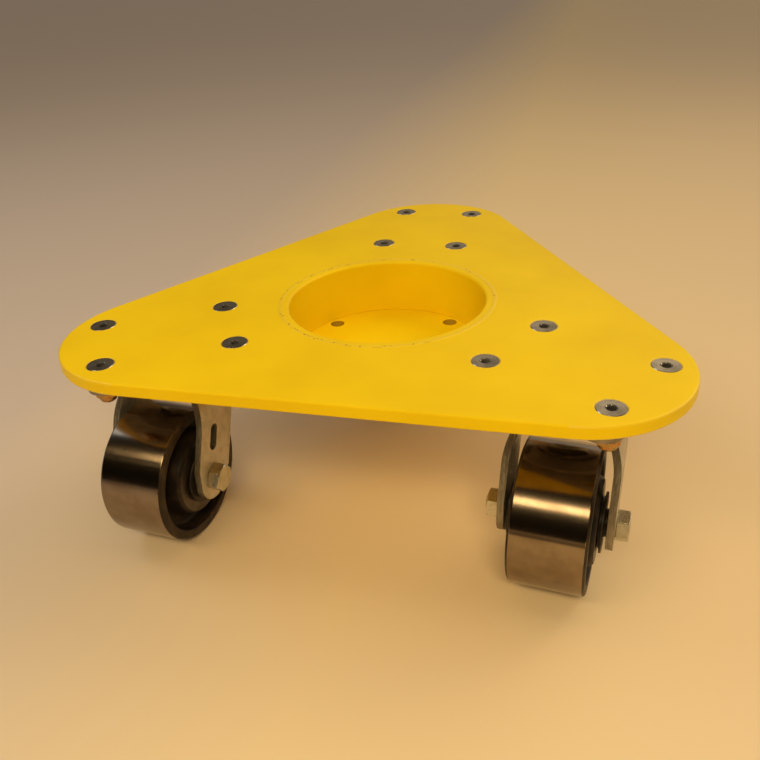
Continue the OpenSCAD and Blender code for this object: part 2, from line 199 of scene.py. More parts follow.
class Nodes:
    """A tree of nodes being filled."""

    def __init__(self, tree):
        self.tree = tree

    def add(self, kind, settings=None, inputs=None, output=0):
        node = self.tree.nodes.new(kind)
        for setting, value in (settings or {}).items():
            if setting == "stops":
                self.fill_ramp(node.color_ramp, value)
            else:
                setattr(node, setting, value)
        for socket, value in (inputs or {}).items():
            self.feed(node.inputs[socket], value)
        return Wire(self, node.outputs[output])

    def feed(self, socket, value):
        if isinstance(value, Wire):
            self.tree.links.new(value.socket, socket)
        else:
            socket.default_value = value

    def fill_ramp(self, ramp, stops):
        for place, colour in stops[2:]:
            ramp.elements.new(place)
        for element, (place, colour) in zip(ramp.elements, stops):
            element.position = place
            element.color = (*colour, 1)

    def ramp(self, value, *stops):
        return self.add("ShaderNodeValToRGB", {"stops": stops}, {"Fac": value})

    def noise(self, size, detail=2.0, roughness=0.5, where=None, distortion=0.0):
        """Cloudy noise whose patches are about size metres across."""
        return self.add("ShaderNodeTexNoise", {}, {
            "Vector": where or self.object_place(), "Scale": 1 / size, "Detail": detail,
            "Roughness": roughness, "Distortion": distortion})

    def object_place(self):
        return self.add("ShaderNodeTexCoord", output="Object")

    def own_place(self):
        """Where a point lies in its piece's own directions, kept in the mesh as an attribute."""
        return self.add("ShaderNodeAttribute", {"attribute_name": "own"}, output="Vector")

    def along(self, where, axis):
        """How far a point lies along X, Y or Z."""
        return self.add("ShaderNodeSeparateXYZ", {}, {0: where}, output=axis)

    def stretched(self, where, *scale):
        return self.add("ShaderNodeVectorMath", {"operation": "MULTIPLY"}, {0: where, 1: scale})

    def mix(self, factor, first, second):
        return self.add("ShaderNodeMix", {"data_type": "RGBA"}, {
            0: factor, 6: (*first, 1) if isinstance(first, tuple) else first,
            7: (*second, 1) if isinstance(second, tuple) else second}, output=2)

    def bump(self, height, depth):
        """Height from 0 to 1 stands up to depth metres proud."""
        return self.add("ShaderNodeBump", {}, {"Height": height, "Distance": depth, "Strength": 1.0},
                        output="Normal")


class Finish(Nodes):
    """A material being made. Constants go straight onto the shader's own sockets."""

    def __init__(self, name, **constants):
        self.material = bpy.data.materials.new(name)
        self.material.use_nodes = True
        super().__init__(self.material.node_tree)
        self.shader = self.tree.nodes["Principled BSDF"]
        for socket, value in constants.items():
            self.shader.inputs[self.label(socket)].default_value = value

    @staticmethod
    def label(word):
        return word.replace("_", " ").title().replace("Ior", "IOR")

    def finish(self, **links):
        for socket, value in links.items():
            self.feed(self.shader.inputs[self.label(socket)], value)
        print("finish", self.material.name, "has", len(self.tree.nodes), "nodes")
        return self.material


# %% [markdown]
# The deck is powder coated. Powder melts into a satin skin with a faint orange peel, a ripple of
# about a millimetre that shows only in the reflections. Its colour drifts a little where the coat is
# thicker, and fine dust sits in it. Where a screw head rubs an edge, the coat is thin and chips show
# bright steel. The flats get a low specular level and the rounded edges a higher one, so that an edge
# catches the light while the broad top keeps its deep colour.

# %% Deck paint


def deck_paint(name, chips=0.0, gloss=0.12, painted_shade=0.0):
    paint = Finish(name, specular_ior_level=gloss)
    peel = paint.noise(1.3 * MM, detail=1.5)
    drift = paint.noise(90 * MM, detail=3)
    dust = paint.noise(0.45 * MM, detail=1).above(0.70, 0.78)
    tone = paint.ramp(drift, (0.25, (0.80, 0.56, 0.002)), (0.5, (0.87, 0.62, 0.003)),
                      (0.75, (0.92, 0.67, 0.004)))
    # The brown is mixed in for the real dust specks. With the last argument it also goes over the whole coat,
    # as painted shade for the inside of holes.
    colour = paint.mix(dust * 0.25 + painted_shade, tone, (0.30, 0.17, 0.02))
    rough = peel * 0.10 + drift * 0.06 + 0.30
    if not chips:
        return paint.finish(Base_Color=colour, Roughness=rough, Normal=paint.bump(peel, 0.018 * MM))
    chip = paint.noise(1.1 * MM, detail=4, roughness=0.65).above(1 - chips, 1.02 - chips)
    return paint.finish(Base_Color=paint.mix(chip, colour, (0.62, 0.58, 0.50)), Metallic=chip * 0.9,
                        Roughness=rough, Normal=paint.bump(peel - chip * 0.8, 0.03 * MM))


yellow = deck_paint("deck_paint")
yellow_edge = deck_paint("deck_paint_edge", chips=0.42, gloss=0.5)
yellow_round = deck_paint("deck_paint_round", gloss=0.6)
# A darkened copy of the paint: painted shade for the walls of the drain holes and for the weld's pinholes.
yellow_painted_shade = deck_paint("deck_paint_painted_shade", painted_shade=0.75)

# %% [markdown]
# Most of the caster is zinc plated. Plating is a thin, soft metal: it copies the grain of the steel
# under it, clouds a little in handling, and dulls where the bath ran slow. One recipe makes the
# family. It takes two tones, a roughness and the size of the grain, and each use picks its own.

# %% Zinc plating


def plating(name, colour, cloud, roughness, grain=0.6 * MM, depth=0.012 * MM, metallic=1.0):
    """colour is the clean plating and cloud is the tone of its dull patches."""
    zinc = Finish(name, metallic=metallic)
    patches = zinc.noise(9 * MM, detail=5, roughness=0.6, distortion=0.4)
    fine = zinc.noise(grain, detail=3, roughness=0.6)
    specks = zinc.noise(1.6 * MM, detail=3).above(0.60, 0.72)
    tone = zinc.mix(patches.above(0.35, 0.70), colour, cloud)
    shade = zinc.mix(specks * 0.35, tone, tuple(c * 0.45 for c in cloud))
    rough = patches * 0.16 + fine * 0.10 + (roughness - 0.13)
    return zinc.finish(Base_Color=shade, Roughness=rough, Normal=zinc.bump(fine, depth))


zinc_plate = plating("zinc_plate", (0.66, 0.60, 0.48), (0.53, 0.48, 0.37), 0.46, metallic=0.72)
# The same plating made much darker: painted shade for the caster's top plate and lower race, which sit in
# shade under the deck.
zinc_painted_shade = plating("zinc_painted_shade", (0.36, 0.32, 0.24), (0.25, 0.22, 0.16), 0.48)
zinc_bright = plating("zinc_bright", (0.66, 0.64, 0.55), (0.50, 0.47, 0.36), 0.30, depth=0.006 * MM)
pin_steel = plating("pin_steel", (0.40, 0.38, 0.35), (0.27, 0.25, 0.22), 0.36)
ball_steel = plating("ball_steel", (0.60, 0.60, 0.60), (0.44, 0.42, 0.38), 0.16, depth=0.002 * MM)

# %% [markdown]
# The lock nuts are dipped in yellow chromate. That film is so thin that light interferes in it, and
# its colour wanders from straw to rose and green within a few millimetres. A colour ramp over slow
# noise gives those drifts. They belong to the nut, so they don't slide as the view moves.

# %% Yellow chromate


def chromate(name):
    film = Finish(name, metallic=1.0)
    drift = film.noise(2.6 * MM, detail=2, distortion=1.2)
    fine = film.noise(0.5 * MM, detail=3)
    colour = film.ramp(drift, (0.28, (0.22, 0.24, 0.12)), (0.42, (0.52, 0.34, 0.09)),
                       (0.52, (0.58, 0.28, 0.08)), (0.62, (0.42, 0.20, 0.11)), (0.74, (0.60, 0.44, 0.18)))
    return film.finish(Base_Color=colour, Roughness=fine * 0.12 + 0.22, Normal=film.bump(fine, 0.008 * MM))


yellow_zinc = chromate("yellow_zinc")

# %% [markdown]
# A sheared edge is not smooth like the sheet's face. The blade first burnishes a band and then tears
# the rest, so fine lines run along the cut, with small torn pits between them. Noise that is drawn
# out along the leg and kept fine across its thickness gives the lines.

# %% Sheared edge


def sheared(name):
    edge = Finish(name, metallic=0.9)
    where = edge.own_place()
    lines = edge.noise(1.3 * MM, detail=4, roughness=0.6, where=edge.stretched(where, 1, 0.16, 0.16))
    pits = edge.noise(0.8 * MM, detail=2, where=where).above(0.55, 0.70)
    colour = edge.ramp(lines, (0.3, (0.20, 0.17, 0.135)), (0.55, (0.34, 0.30, 0.23)),
                       (0.75, (0.50, 0.45, 0.36)))
    return edge.finish(Base_Color=colour, Roughness=lines * 0.16 + pits * 0.1 + 0.36,
                       Normal=edge.bump(lines - pits * 0.4, 0.06 * MM))


sheared_zinc = sheared("sheared_zinc")

# %% [markdown]
# A turned face carries the spiral of the tool: fine rings round the axis. They come from noise that
# varies only with the distance along the axis, or only with the radius on an end face. The rings blur
# reflections across themselves and leave them sharp along themselves, which is what makes a wheel's
# tread look turned.

# %% Turned steel


def turned(name, colour, stain, roughness, pitch=0.30 * MM, depth=0.0045 * MM, metallic=1.0):
    steel = Finish(name, metallic=metallic)
    where = steel.own_place()
    x, y, z = (steel.along(where, axis) for axis in "XYZ")
    radius = (x * x + y * y).root()
    rings = steel.add("ShaderNodeTexNoise", {"noise_dimensions": "1D"}, {
        "W": radius + z * 1.07, "Scale": 1 / pitch, "Detail": 3.0, "Roughness": 0.65})
    marks = steel.noise(14 * MM, detail=4, where=where)
    scuffs = steel.noise(1.2 * MM, detail=3, where=steel.stretched(where, 1, 1, 0.12)).above(0.62, 0.74)
    tone = steel.mix(marks.above(0.38, 0.72), colour, stain)
    rough = rings * 0.08 + marks * 0.05 + scuffs * 0.05 + (roughness - 0.06)
    return steel.finish(Base_Color=tone, Roughness=rough, Normal=steel.bump(rings, depth))


tread_steel = turned("tread_steel", (0.29, 0.225, 0.16), (0.235, 0.175, 0.12), 0.17)
screw_zinc = turned("screw_zinc", (0.62, 0.55, 0.42), (0.36, 0.31, 0.23), 0.26, pitch=0.7 * MM,
                    depth=0.022 * MM)
hub_face_steel = turned("hub_face_steel", (0.12, 0.10, 0.08), (0.06, 0.05, 0.045), 0.34, pitch=0.6 * MM,
                        depth=0.010 * MM, metallic=0.8)

# %% [markdown]
# The wheel's sides are raw casting under a film of oil: nearly black, pebbled by the sand of the
# mould, with brown showing where the film is thin. The washers and the bushing are hardened steel with
# a black oxide, smoother and nearly as dark.

# %% Oiled black


def oiled(name, dark, brown, pebble, depth, roughness):
    black = Finish(name, metallic=0.0, specular_ior_level=0.22)
    grain = black.noise(pebble, detail=4, roughness=0.6)
    film = black.noise(12 * MM, detail=3)
    colour = black.mix(film.above(0.40, 0.70), dark, brown)
    rough = grain * 0.16 + film * 0.12 + (roughness - 0.14)
    return black.finish(Base_Color=colour, Roughness=rough, Normal=black.bump(grain, depth))


cast_black = oiled("cast_black", (0.011, 0.008, 0.006), (0.034, 0.020, 0.012), 1.4 * MM, 0.10 * MM, 0.46)
rim_brown = oiled("rim_brown", (0.022, 0.014, 0.008), (0.052, 0.034, 0.020), 0.8 * MM, 0.04 * MM, 0.40)
black_oxide = oiled("black_oxide", (0.018, 0.014, 0.012), (0.038, 0.027, 0.020), 0.7 * MM, 0.015 * MM, 0.34)

# %% [markdown]
# Every new mesh ends the same way. Its doubles are merged, its faces are turned outwards, the place
# in its own directions is kept for the finishes, and then it is carried to its place on the dolly and
# hung on its body. One function does this, so no piece can miss a step. A Weighted Normal modifier
# lets large faces decide the shading at a bevel, so a flat plate still looks flat beside it.

# %% From bmesh to piece
SMOOTH_UNDER = math.radians(32)
SAME_SPOT = 0.001 * MM
count = {"pieces": 0, "triangles": 0}


def make_piece(name, bm, place, body, finishes, replaces=()):
    """finishes is the list of materials that the faces' material_index picks from."""
    bmesh.ops.remove_doubles(bm, verts=bm.verts, dist=SAME_SPOT)
    bmesh.ops.recalc_face_normals(bm, faces=bm.faces)
    mesh = bpy.data.meshes.new(name)
    bm.to_mesh(mesh)
    bm.free()
    own = mesh.attributes.new("own", "FLOAT_VECTOR", "POINT")
    own.data.foreach_set("vector", [c for v in mesh.vertices for c in v.co])
    mesh.transform(place)
    mesh.shade_smooth()
    mesh.set_sharp_from_angle(angle=SMOOTH_UNDER)
    for finish in finishes:
        mesh.materials.append(finish)
    piece = bpy.data.objects.new(name, mesh)
    bpy.context.scene.collection.objects.link(piece)
    shade = piece.modifiers.new("flat faces stay flat", "WEIGHTED_NORMAL")
    shade.weight = 100
    shade.keep_sharp = True
    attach(piece, body)
    if replaces:
        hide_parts(*replaces)
    count["pieces"] += 1
    count["triangles"] += sum(len(p.vertices) - 2 for p in mesh.polygons)
    return piece


def break_edges(bm, edges, width, segments=2):
    """Bevels edges as a file or a tumbling barrel would."""
    bmesh.ops.bevel(bm, geom=list(edges), offset=width, offset_type="OFFSET", segments=segments,
                    profile=0.5, affect="EDGES", material=-1, clamp_overlap=True)


def only(items, kind):
    """What an operator gives back mixes vertices, edges and faces. This picks one kind."""
    return [item for item in items if isinstance(item, kind)]


def sharp_edges(bm, over=40, where=lambda edge: True):
    """The edges where two faces meet at more than so many degrees."""
    bm.normal_update()
    return [e for e in bm.edges
            if len(e.link_faces) == 2 and e.calc_face_angle(0) > math.radians(over) and where(e)]


# %% [markdown]
# Turned pieces start from half their section: a few points of radius and height, joined by edges. The
# corners are rounded in the section, where it is cheap, and spinning the section once round the Z axis
# makes the solid. A point on the axis stays one vertex when the doubles are merged.

# %% Lathe


def lathe(section, rounds=None, steps=96, closed=False):
    """section is a list of (radius, height), and rounds gives the rounding width at a point's index."""
    bm = bmesh.new()
    verts = [bm.verts.new((r, 0, z)) for r, z in section]
    for pair in zip(verts, verts[1:] + verts[:1] if closed else verts[1:]):
        bm.edges.new(pair)
    for index, width in (rounds or {}).items():
        bmesh.ops.bevel(bm, geom=[verts[index]], offset=width, offset_type="OFFSET", segments=4, profile=0.5,
                        affect="VERTICES", material=-1)
    profile = bm.verts[:] + bm.edges[:]
    bmesh.ops.spin(bm, geom=profile, cent=(0, 0, 0), axis=(0, 0, 1), angle=2 * math.pi, steps=steps,
                   use_merge=True, use_duplicate=False)
    return bm


test = lathe([(1, 0), (1, 1), (0, 1)], {1: 0.2}, steps=12)
print("a lathed cap has", len(test.verts), "vertices")
test.free()
# %% [markdown]
# Some round pieces aren't round all over: a hexagon nut is a hexagon whose corners a lathe has turned
# away. For those a ring of vertices is pulled out step by step. Each step names a shape, which gives
# the radius and the height at any angle, so one ring can be a hexagon and the next a circle. Where
# the cone of the chamfer cuts the flat sides, the curved edges of a real nut come by themselves.

# %% Loft from ring to ring


def shape_ring(verts, shape):
    for v in verts:
        angle = math.atan2(v.co.y, v.co.x)
        r, z = shape(angle)
        v.co = (r * math.cos(angle), r * math.sin(angle), z)


def loft(shapes, steps=72):
    bm = bmesh.new()
    verts = bmesh.ops.create_circle(bm, segments=steps, radius=1)["verts"]
    edges = list({e for v in verts for e in v.link_edges})
    shape_ring(verts, shapes[0])
    for shape in shapes[1:]:
        made = bmesh.ops.extrude_edge_only(bm, edges=edges)["geom"]
        verts = only(made, bmesh.types.BMVert)
        edges = [e for e in only(made, bmesh.types.BMEdge) if set(e.verts) <= set(verts)]
        shape_ring(verts, shape)
    return bm


def close_ends(bm):
    """Fills every open ring of edges with a face."""
    bmesh.ops.holes_fill(bm, edges=[e for e in bm.edges if e.is_boundary], sides=0)


def circle(r, z):
    return lambda angle: (r, z)


def hexagon(flats, z, cone_r=None, fall=0):
    """A hexagon across its flats. Past cone_r its edge falls away at 30 degrees, down or up."""
    def shape(angle):
        r = flats / 2 / math.cos(angle % (math.pi / 3) - math.pi / 6)
        drop = max(0, r - cone_r) * math.tan(math.radians(30)) if cone_r else 0
        return r, z + fall * drop
    return shape


test = loft([hexagon(19 * MM, 0), hexagon(19 * MM, 9 * MM, 9 * MM, -1)])
print("a hexagon wall has", len(test.faces), "faces")
test.free()

# %% [markdown]
# Flat plates with holes are the other family. Their outline and holes are drawn as loops of edges,
# one call fills between them, and the filled face is pulled down to its thickness. Arcs in an outline
# come from spinning one vertex. The fill leaves many thin triangles, which are dissolved so that the
# bevels have clean corners to work on.

# %% Plates from loops


def arc(bm, start, centre, angle, steps):
    """Spins a vertex round a vertical axis and returns the chain, first to last."""
    first = bm.verts.new(start)
    before = set(bm.verts)
    bmesh.ops.spin(bm, geom=[first], cent=centre, axis=(0, 0, 1), angle=angle, steps=steps, use_merge=False,
                   use_duplicate=False)
    chain = [first]
    while len(chain) < steps + 1:
        beside = [e.other_vert(chain[-1]) for e in chain[-1].link_edges]
        chain.append(next(v for v in beside if v not in chain and v not in before - {first}))
    return chain


def join(bm, *chains):
    """Joins chains end to start into one closed loop."""
    for one, following in zip(chains, chains[1:] + chains[:1]):
        bm.edges.new((one[-1], following[0]))


def hole(bm, centre, r, segments=48):
    bmesh.ops.create_circle(bm, segments=segments, radius=r, matrix=Matrix.Translation(centre))


def fill_and_pull(bm, thickness):
    """Fills the loops at their height and pulls the plate down by its thickness."""
    bmesh.ops.triangle_fill(bm, edges=bm.edges[:], use_beauty=True)
    bmesh.ops.dissolve_limit(bm, angle_limit=math.radians(1), verts=[], edges=bm.edges[:],
                             use_dissolve_boundaries=False, delimit=set())
    made = bmesh.ops.extrude_face_region(bm, geom=bm.faces[:])["geom"]
    bmesh.ops.translate(bm, verts=only(made, bmesh.types.BMVert), vec=(0, 0, -thickness))
    bmesh.ops.recalc_face_normals(bm, faces=bm.faces)


# %% [markdown]
# The deck is cut from 3/8 inch plate. Its outline is three arcs joined by straight sides that meet
# them without a corner. Twelve holes are countersunk for the screws, and a large one takes the cup.
# The countersinks are made from straight holes: their walls are cut at the cone's depth, and all that
# lies below is drawn in. Then the outside edges are rounded, as the powder coat and the file leave
# them, and each countersink's mouth gets a fine bevel, where the coat chips.

# %% Deck plate
BOLT_ROWS = 92.1 * MM
BOLT_COLUMNS = 66.7 * MM
COUNTERSINK_R = 10 * MM
SCREW_HOLE_R = 5.16 * MM
CONE_HALF = math.radians(41)
DECK_ROUND = 1.6 * MM
ARC = math.radians(120)
AROUND_SCREW = 12 * MM
MOUTH_BEVEL = 0.28 * MM
LARGEST_CHIP = 2 * MM * MM
cone_depth = (COUNTERSINK_R - SCREW_HOLE_R) / math.tan(CONE_HALF)
screw_spots = [corner[side] @ Vector((x * BOLT_ROWS / 2, y * BOLT_COLUMNS / 2, 0))
               for side in SIDES for x in (-1, 1) for y in (-1, 1)]


def near_any(point, spots, reach):
    return any((point.xy - spot.xy).length < reach for spot in spots)


def make_deck():
    bm = bmesh.new()
    chains = []
    for side in SIDES:
        centre = corner[side].translation
        out = Matrix.Rotation(-ARC / 2, 3, "Z") @ centre.normalized() * corner_r
        chains.append(arc(bm, centre + out, centre, ARC, 40))
    join(bm, *chains)
    hole(bm, (0, 0, 0), cup_outer_r, 144)
    for spot in screw_spots:
        hole(bm, spot, COUNTERSINK_R)
    fill_and_pull(bm, deck_t)
    walls = [f for f in bm.faces
             if abs(f.normal.z) < 0.5 and near_any(f.calc_center_median(), screw_spots, AROUND_SCREW)]
    cut = list({item for f in walls for item in [f, *f.edges, *f.verts]})
    bmesh.ops.bisect_plane(bm, geom=cut, plane_co=(0, 0, -cone_depth), plane_no=(0, 0, 1), dist=0.0001 * MM)
    narrow = SCREW_HOLE_R / COUNTERSINK_R
    for spot in screw_spots:
        low = [v for v in bm.verts
               if v.co.z < -cone_depth / 2 and near_any(v.co, [spot], COUNTERSINK_R * 1.05)]
        bmesh.ops.scale(bm, verts=low, vec=(narrow, narrow, 1), space=Matrix.Translation(-spot))
    outside = sharp_edges(bm, 60, lambda e: min(v.co.xy.length for v in e.verts) > cup_outer_r + 10 * MM
                          and not near_any(e.verts[0].co, screw_spots, AROUND_SCREW))
    flat = set(bm.faces)
    break_edges(bm, outside, DECK_ROUND, 4)
    for face in set(bm.faces) - flat:
        if face.calc_area() < 4 * deck_t * DECK_ROUND and 0.05 < abs(face.normal.z) < 0.98:
            face.material_index = 2
    mouths = sharp_edges(bm, 30, lambda e: all(v.co.z > -SAME_SPOT and near_any(v.co, screw_spots, 10.1 * MM)
                                               for v in e.verts))
    before = set(bm.faces)
    break_edges(bm, mouths, MOUTH_BEVEL, 2)
    for face in set(bm.faces) - before:
        if near_any(face.calc_center_median(), screw_spots, 10.4 * MM) and face.calc_area() < LARGEST_CHIP:
            face.material_index = 1
    return make_piece("deck", bm, Matrix(), "deck", [yellow, yellow_edge, yellow_round],
                      ["deck_plate"])


deck = make_deck()
print("deck:", len(deck.data.polygons), "faces")

# %% [markdown]
# The cup is a length of heavy tube let through the deck, with a disc welded under it. Its mouth is
# rounded by hand, so the rounding is generous. The floor has four drain holes close to the wall. Their
# walls get a darker paint, which is painted shade for the inside of each hole.

# %% Cup
CUP_MOUTH_ROUND = 2.2 * MM
DRAIN_R = 5.75 * MM
DRAIN_GAP = 2 * MM
DRAIN_TURN = math.radians(55)


def make_cup():
    tube = lathe([(cup_r, 0), (cup_outer_r, 0), (cup_outer_r, cup_low.z), (cup_r, cup_low.z)],
                 {0: CUP_MOUTH_ROUND, 3: 0.4 * MM}, steps=160, closed=True)
    make_piece("cup_wall", tube, Matrix(), "deck", [yellow], ["cup_tube"])
    bm = bmesh.new()
    hole(bm, (0, 0, floor_high.z), floor_high.y, 144)
    for i in range(4):
        turn = Matrix.Rotation(DRAIN_TURN + i * math.pi / 2, 3, "Z")
        hole(bm, turn @ Vector((cup_r - DRAIN_GAP - DRAIN_R, 0, floor_high.z)), DRAIN_R, 40)
    fill_and_pull(bm, floor_high.z - floor_low.z)
    break_edges(bm, sharp_edges(bm, 60), 0.5 * MM, 2)
    # The drain holes' walls take the darkened paint: painted shade inside the holes.
    for face in bm.faces:
        if abs(face.normal.z) < 0.9 and face.calc_center_median().xy.length < cup_r - 1 * MM:
            face.material_index = 1
    return make_piece("cup_base", bm, Matrix(), "deck", [yellow, yellow_painted_shade], ["cup_floor"])


base = make_cup()
print("cup:", round(2 * cup_r / MM, 1), "mm across,", round(-floor_high.z / MM, 1), "mm deep")

# %% [markdown]
# The weld that joins the cup to the deck was ground flush and painted over. Grinding never gets it
# quite flat: a ring about 3 mm wide stays a fifth of a millimetre proud, its edges wander, and gas
# bubbles in the weld open as pinholes. It is a thin lathed ring whose vertices are then moved by noise,
# with a dimple at each pinhole. A dimple stops just above the deck's top, which would hide anything
# deeper, so its faces get a dark paint: painted shade that stands in for the hole's depth. The random
# numbers are seeded, so every run is the same.

# %% Ground weld
WELD_MID_R = cup_outer_r + 0.6 * MM
WELD_HALF = 1.9 * MM
WELD_PROUD = 0.30 * MM
WELD_DEEP = 0.6 * MM
PINHOLES = 46
dice = random.Random(7)


def make_ground_weld():
    rows = 12
    section = [(WELD_MID_R + WELD_HALF * (2 * i / rows - 1), 0) for i in range(rows + 1)]
    bm = lathe([(section[0][0], -WELD_DEEP), *section, (section[-1][0], -WELD_DEEP)], steps=900, closed=True)
    holes = []
    for _ in range(PINHOLES):
        angle = dice.gauss(math.radians(200), math.radians(75))
        r = WELD_MID_R + dice.uniform(-0.6, 0.7) * WELD_HALF
        holes.append((Vector((r * math.cos(angle), r * math.sin(angle))), dice.uniform(0.45, 1.0) * MM))
    for v in bm.verts:
        if v.co.z < -WELD_DEEP / 2:
            continue
        edge = abs(v.co.xy.length - WELD_MID_R) / WELD_HALF
        wander = noise.noise(v.co * 160) * 0.30
        swell = WELD_PROUD * (0.6 - (edge + wander) ** 6 * 1.6) + noise.noise(v.co * 700) * 0.05 * MM
        for spot, size in holes:
            away = (v.co.xy - spot).length / size
            if away < 1:
                swell = max(swell - 0.5 * MM * (1 - away * away), 0.02 * MM)
        v.co.z = swell
    # Faces at the bottom of a pinhole take the darkened paint: painted shade for the hole's depth.
    for face in bm.faces:
        spot = face.calc_center_median()
        if 0 < spot.z < 0.10 * MM and abs(spot.xy.length - WELD_MID_R) < WELD_HALF * 0.65:
            face.material_index = 1
    return make_piece("cup_ground_weld", bm, Matrix(), "deck", [yellow_round, yellow_painted_shade])


ground_weld = make_ground_weld()
print("ground weld:", len(ground_weld.data.vertices), "vertices")

# %% [markdown]
# Underneath nobody grinds the welds. A fillet weld is a row of overlapping puddles, like a stack of
# coins laid over. Its section is a lathed triangle with a bulging face, and a sine wave along the
# bead gives the coins.

# %% Fillet welds under the deck
COIN = 3.2 * MM


def make_bead(name, r, z, out, down):
    """A bead in the corner at radius r and height z, reaching out along the plate and down along the wall."""
    rows = 6
    face = [(math.sin(i / rows * math.pi / 2), math.cos(i / rows * math.pi / 2)) for i in range(rows + 1)]
    section = [(r, z), *((r + out * a * 0.92, z + down * b * 0.92) for a, b in face)]
    bm = lathe(section, steps=720, closed=True)
    coins = round(2 * math.pi * r / COIN)
    for v in bm.verts:
        depth = min(abs(v.co.xy.length - r), abs(v.co.z - z))
        if depth < 0.05 * MM:
            continue
        angle = math.atan2(v.co.y, v.co.x)
        swell = 1 + 0.10 * abs(math.sin(angle * coins / 2)) + 0.08 * noise.noise(v.co * 300)
        flat = v.co.xy.normalized() * (r + (v.co.xy.length - r) * swell)
        v.co = (flat.x, flat.y, z + (v.co.z - z) * swell)
    return make_piece(name, bm, Matrix(), "deck", [yellow], ["cup_welds"])


make_bead("cup_upper_weld", cup_outer_r, -deck_t, 5 * MM, -5 * MM)
make_bead("cup_lower_weld", floor_high.y, cup_low.z, cup_outer_r - floor_high.y, -3.5 * MM)
print("weld coins:", round(2 * math.pi * cup_outer_r / COIN))

# %% [markdown]
# The deck screws are flat-head socket screws. The head's face is turned, so it has fine rings and a
# thin lip at its rim. The socket is pressed: a six-sided hole with a small chamfer and a hollow cone
# at its bottom. Its inside gets a near-black finish, which is painted shade for the depth of the hole.
# Each screw is a piece of its own, because each one can be taken out.

# %% Deck screws
HEAD_R = 9.53 * MM
HEAD_LIP = 0.35 * MM
HEAD_SIDE = 0.5 * MM
SCREW_R = 4.76 * MM
SOCKET_FLATS = 5.56 * MM
SOCKET_DEPTH = 4.2 * MM
screw_low, screw_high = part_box("deck_screws")
nuts_low, nuts_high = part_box("lock_nuts")


def make_screw(name, spot, turn, replaces):
    top = screw_high.z
    neck = top - HEAD_SIDE - (HEAD_R - SCREW_R) / math.tan(CONE_HALF)
    socket = SOCKET_FLATS / 2
    bm = loft([
        circle(SCREW_R - 1 * MM, screw_low.z), circle(SCREW_R, screw_low.z + 1 * MM), circle(SCREW_R, neck),
        circle(HEAD_R, top - HEAD_SIDE), circle(HEAD_R, top - HEAD_LIP), circle(HEAD_R - HEAD_LIP, top),
        circle(HEAD_R - 0.9 * MM, top), circle(HEAD_R - 1.1 * MM, top - 0.10 * MM),
        circle(socket * 1.42, top - 0.10 * MM), hexagon(SOCKET_FLATS, top - 0.55 * MM),
        hexagon(SOCKET_FLATS, top - SOCKET_DEPTH), circle(socket * 0.8, top - SOCKET_DEPTH - 0.4 * MM),
        circle(0, top - SOCKET_DEPTH - 1.2 * MM)], steps=60)
    close_ends(bm)
    place = Matrix.Translation((spot.x, spot.y, 0)) @ Matrix.Rotation(turn, 4, "Z")
    # The socket's inside faces take the near-black finish: painted shade in the hole.
    for face in bm.faces:
        centre = face.calc_center_median()
        if centre.xy.length < socket * 1.25 and centre.z > top - 6 * MM:
            face.material_index = 1
    return make_piece(name, bm, place, "deck", [screw_zinc, socket_painted_shade], replaces)


# Near-black finish for the sockets: painted shade, as a deep socket lies in shade.
socket_painted_shade = oiled("socket_painted_shade", (0.05, 0.047, 0.042), (0.12, 0.11, 0.095), 0.9 * MM, 0.03 * MM, 0.36)
for i, spot in enumerate(screw_spots):
    side, number = SIDES[i // 4], i % 4 + 1
    make_screw(f"{side}_deck_screw_{number}", spot, dice.uniform(0, math.pi / 3), ["deck_screws"])
print("deck screws:", len(screw_spots))

# %% [markdown]
# Each screw is held by a lock nut under the caster's plate. The nut has a hexagon with turned corners
# and a round collar on top that is squeezed to grip the thread.

# %% Lock nuts
NUT_FLATS = 14.29 * MM


def make_lock_nut(name, spot, turn):
    h = nuts_high.z - nuts_low.z
    wall = h * 0.72
    cone = NUT_FLATS / 2 * 0.96
    collar = NUT_FLATS * 0.45
    bm = loft([
        circle(SCREW_R, h), circle(SCREW_R, 0), circle(SCREW_R + 0.7 * MM, 0), circle(cone, 0),
        hexagon(NUT_FLATS, 0, cone, 1), hexagon(NUT_FLATS, wall, cone, -1), circle(cone, wall),
        circle(collar, wall + 0.1 * MM), circle(collar * 0.98, h - 1.6 * MM),
        circle(collar * 0.91, h - 0.6 * MM), circle(collar * 0.80, h - 0.1 * MM),
        circle(SCREW_R + 0.8 * MM, h), circle(SCREW_R, h - 0.5 * MM)])
    break_edges(bm, sharp_edges(bm, 50), 0.22 * MM)
    upside_down = Matrix.Rotation(turn, 4, "Z") @ Matrix.Rotation(math.pi, 4, "X")
    place = Matrix.Translation((spot.x, spot.y, nuts_high.z)) @ upside_down
    return make_piece(name, bm, place, "deck", [yellow_zinc], ["lock_nuts"])


for i, spot in enumerate(screw_spots):
    make_lock_nut(f"{SIDES[i // 4]}_lock_nut_{i % 4 + 1}", spot, dice.uniform(0, math.pi / 3))
print("lock nuts:", len(screw_spots), "of", round((nuts_high.z - nuts_low.z) / MM, 1), "mm")

# %% [markdown]
# The fork's legs are strips of 5 mm plate. Seen along the axle a leg slants back to the axle and ends
# in a round toe; seen from the front it bows inwards to meet the crown. So it is drawn flat, pulled
# to its thickness, cut across at several heights and then bent: each vertex above the bow's start
# moves onto an arc. Its cut sides get the sheared finish, and its faces the plated one.

